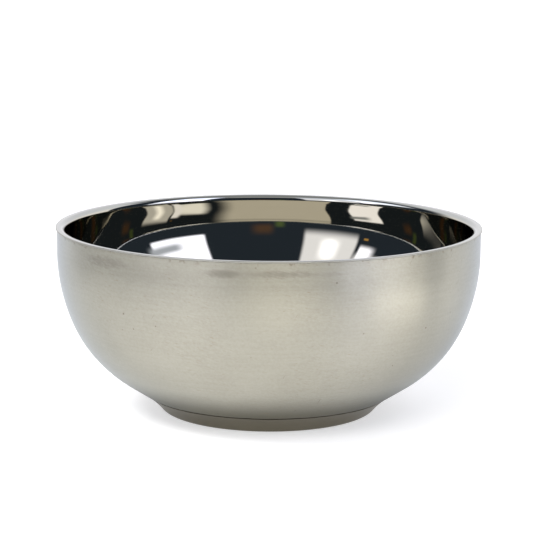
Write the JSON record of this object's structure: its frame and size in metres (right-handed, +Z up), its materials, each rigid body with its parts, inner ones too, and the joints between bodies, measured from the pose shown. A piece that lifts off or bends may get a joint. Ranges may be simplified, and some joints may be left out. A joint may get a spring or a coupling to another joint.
{
  "type": "shaving bowl",
  "caption": "Round double-walled metal bowl with a satin outside, a mirror-polished inside, a narrow flat lip and a low flared foot, for whipping up shaving lather.",
  "frame": {"origin": "centre of the circle that the foot ring rests on, on the table plane", "axes": "+Z up along the bowl's axis of revolution; X and Y are level and interchangeable, because the bowl is round"},
  "size_m": [0.115, 0.115, 0.0504],
  "materials": {
    "mirror_steel": "mirror-polished stainless steel with faint pressing ripples, polished lip",
    "satin_steel": "satin stainless steel, very finely brushed round the axis, with light handling marks",
    "rim_weld_steel": "ground weld line, slightly darker than the wall",
    "base_steel": "pressed and turned stainless steel, duller and warmer than the shell",
    "base_weld_steel": "dark, slightly rough weld metal"
  },
  "bodies": {
    "root": {"inner_bowl": "mirror_steel", "outer_shell": "satin_steel", "rim_weld": "rim_weld_steel", "base_cap": "base_steel", "base_weld": "base_weld_steel", "vent_seal": "base_weld_steel"}
  },
  "joints": []
}
